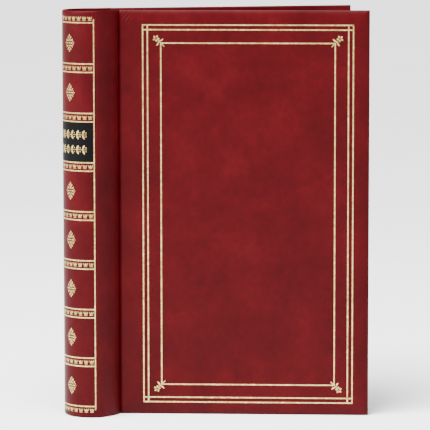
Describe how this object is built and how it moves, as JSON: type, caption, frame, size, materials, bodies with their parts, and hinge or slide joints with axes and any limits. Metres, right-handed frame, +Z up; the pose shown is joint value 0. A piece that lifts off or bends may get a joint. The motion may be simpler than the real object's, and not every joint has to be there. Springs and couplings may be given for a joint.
{
  "type": "photo album",
  "caption": "Tall ring-bound photo album with a rounded spine, padded leatherette covers, gold line borders, pocket pages and an opening ring mechanism.",
  "frame": {"origin": "centre of the bounding box's bottom face, on the surface the album stands on", "axes": "+Z up along the spine, +X from the spine to the front cover's fore-edge, +Y from the front cover to the back cover"},
  "size_m": [0.2724, 0.1154, 0.362],
  "materials": {
    "leatherette": "fine-grained burgundy leatherette, satin",
    "greyboard": "raw greyboard",
    "foam": "thin foam",
    "endpaper": "matte lining paper",
    "gold_foil": "hot-stamped gold foil",
    "label": "black leatherette label, semi-gloss",
    "nickel": "nickel-plated steel",
    "page_film": "pocket page, clear film over white inserts"
  },
  "bodies": {
    "spine": {"spine_skin": "leatherette", "spine_board": "greyboard", "spine_lining": "endpaper", "back_joint_curve": "leatherette", "spine_band_lines": "gold_foil", "spine_motifs": "gold_foil", "spine_side_lines": "gold_foil", "spine_label": "label", "label_emblem": "gold_foil", "spine_fleurons": "gold_foil", "ring_cover_plate": "nickel", "rivets": "nickel", "trigger_pins": "nickel"},
    "front_cover": {"front_joint": "leatherette", "front_skin": "leatherette", "front_pad": "foam", "front_board": "greyboard", "front_endpaper": "endpaper", "front_border": "gold_foil", "front_inner_border": "gold_foil", "front_roses": "gold_foil"},
    "back_cover": {"back_joint": "leatherette", "back_skin": "leatherette", "back_pad": "foam", "back_board": "greyboard", "back_endpaper": "endpaper"},
    "front_rings": {"front_blade": "nickel", "front_ring_bottom": "nickel", "front_ring_middle": "nickel", "front_ring_top": "nickel"},
    "back_rings": {"back_blade": "nickel", "back_ring_bottom": "nickel", "back_ring_middle": "nickel", "back_ring_top": "nickel"},
    "top_trigger": {"top_trigger": "nickel"},
    "bottom_trigger": {"bottom_trigger": "nickel"},
    "leaf_01": {"page_01": "page_film"},
    "leaf_02": {"page_02": "page_film"},
    "leaf_03": {"page_03": "page_film"},
    "leaf_04": {"page_04": "page_film"},
    "leaf_05": {"page_05": "page_film"},
    "leaf_06": {"page_06": "page_film"},
    "leaf_07": {"page_07": "page_film"},
    "leaf_08": {"page_08": "page_film"},
    "leaf_09": {"page_09": "page_film"},
    "leaf_10": {"page_10": "page_film"}
  },
  "joints": [
    {"name": "front_cover_hinge", "type": "hinge", "parent": "spine", "child": "front_cover", "pos_m": [-0.10433, -0.05673, 0.181], "axis": [0, 0, 1], "range_deg": [-105, 0]},
    {"name": "back_cover_hinge", "type": "hinge", "parent": "spine", "child": "back_cover", "pos_m": [-0.11763, -0.00812, 0.181], "axis": [0, 0, 1], "range_deg": [-15.6, 75]},
    {"name": "ring_opening", "type": "hinge", "parent": "spine", "child": "back_rings", "pos_m": [-0.13136, -0.03574, 0.181], "axis": [0, 0, 1], "range_deg": [0, 4]},
    {"name": "front_ring_opening", "type": "hinge", "parent": "spine", "child": "front_rings", "pos_m": [-0.11204, -0.05314, 0.181], "axis": [0, 0, 1], "range_deg": [-4, 0]},
    {"name": "top_trigger_tilt", "type": "hinge", "parent": "spine", "child": "top_trigger", "pos_m": [-0.12036, -0.04295, 0.322], "axis": [0.7431, -0.6691, 0], "range_deg": [0, 8]},
    {"name": "bottom_trigger_tilt", "type": "hinge", "parent": "spine", "child": "bottom_trigger", "pos_m": [-0.12036, -0.04295, 0.04], "axis": [-0.7431, 0.6691, 0], "range_deg": [0, 8]},
    {"name": "leaf_01_turn", "type": "hinge", "parent": "spine", "child": "leaf_01", "pos_m": [-0.11085, -0.03239, 0.181], "axis": [0, 0, 1], "range_deg": [-42, 0]},
    {"name": "leaf_02_turn", "type": "hinge", "parent": "spine", "child": "leaf_02", "pos_m": [-0.11085, -0.03239, 0.181], "axis": [0, 0, 1], "range_deg": [-33.6, 0]},
    {"name": "leaf_03_turn", "type": "hinge", "parent": "spine", "child": "leaf_03", "pos_m": [-0.11085, -0.03239, 0.181], "axis": [0, 0, 1], "range_deg": [-25.2, 0]},
    {"name": "leaf_04_turn", "type": "hinge", "parent": "spine", "child": "leaf_04", "pos_m": [-0.11085, -0.03239, 0.181], "axis": [0, 0, 1], "range_deg": [-16.8, 0]},
    {"name": "leaf_05_turn", "type": "hinge", "parent": "spine", "child": "leaf_05", "pos_m": [-0.11085, -0.03239, 0.181], "axis": [0, 0, 1], "range_deg": [-8.4, 0]},
    {"name": "leaf_06_turn", "type": "hinge", "parent": "spine", "child": "leaf_06", "pos_m": [-0.11085, -0.03239, 0.181], "axis": [0, 0, 1], "range_deg": [-2.03, 9.75]},
    {"name": "leaf_07_turn", "type": "hinge", "parent": "spine", "child": "leaf_07", "pos_m": [-0.11085, -0.03239, 0.181], "axis": [0, 0, 1], "range_deg": [-4.06, 19.5]},
    {"name": "leaf_08_turn", "type": "hinge", "parent": "spine", "child": "leaf_08", "pos_m": [-0.11085, -0.03239, 0.181], "axis": [0, 0, 1], "range_deg": [-6.08, 29.25]},
    {"name": "leaf_09_turn", "type": "hinge", "parent": "spine", "child": "leaf_09", "pos_m": [-0.11085, -0.03239, 0.181], "axis": [0, 0, 1], "range_deg": [-8.11, 39]},
    {"name": "leaf_10_turn", "type": "hinge", "parent": "spine", "child": "leaf_10", "pos_m": [-0.11085, -0.03239, 0.181], "axis": [0, 0, 1], "range_deg": [-10.14, 48.75]}
  ],
  "couplings": [
    {"joint": "front_ring_opening", "follows": "ring_opening", "ratio": -1},
    {"joint": "top_trigger_tilt", "follows": "ring_opening", "ratio": 2},
    {"joint": "bottom_trigger_tilt", "follows": "ring_opening", "ratio": 2},
    {"joint": "leaf_01_turn", "follows": "front_cover_hinge", "ratio": 0.4},
    {"joint": "leaf_02_turn", "follows": "front_cover_hinge", "ratio": 0.32},
    {"joint": "leaf_03_turn", "follows": "front_cover_hinge", "ratio": 0.24},
    {"joint": "leaf_04_turn", "follows": "front_cover_hinge", "ratio": 0.16},
    {"joint": "leaf_05_turn", "follows": "front_cover_hinge", "ratio": 0.08},
    {"joint": "leaf_06_turn", "follows": "back_cover_hinge", "ratio": 0.13},
    {"joint": "leaf_07_turn", "follows": "back_cover_hinge", "ratio": 0.26},
    {"joint": "leaf_08_turn", "follows": "back_cover_hinge", "ratio": 0.39},
    {"joint": "leaf_09_turn", "follows": "back_cover_hinge", "ratio": 0.52},
    {"joint": "leaf_10_turn", "follows": "back_cover_hinge", "ratio": 0.65}
  ]
}
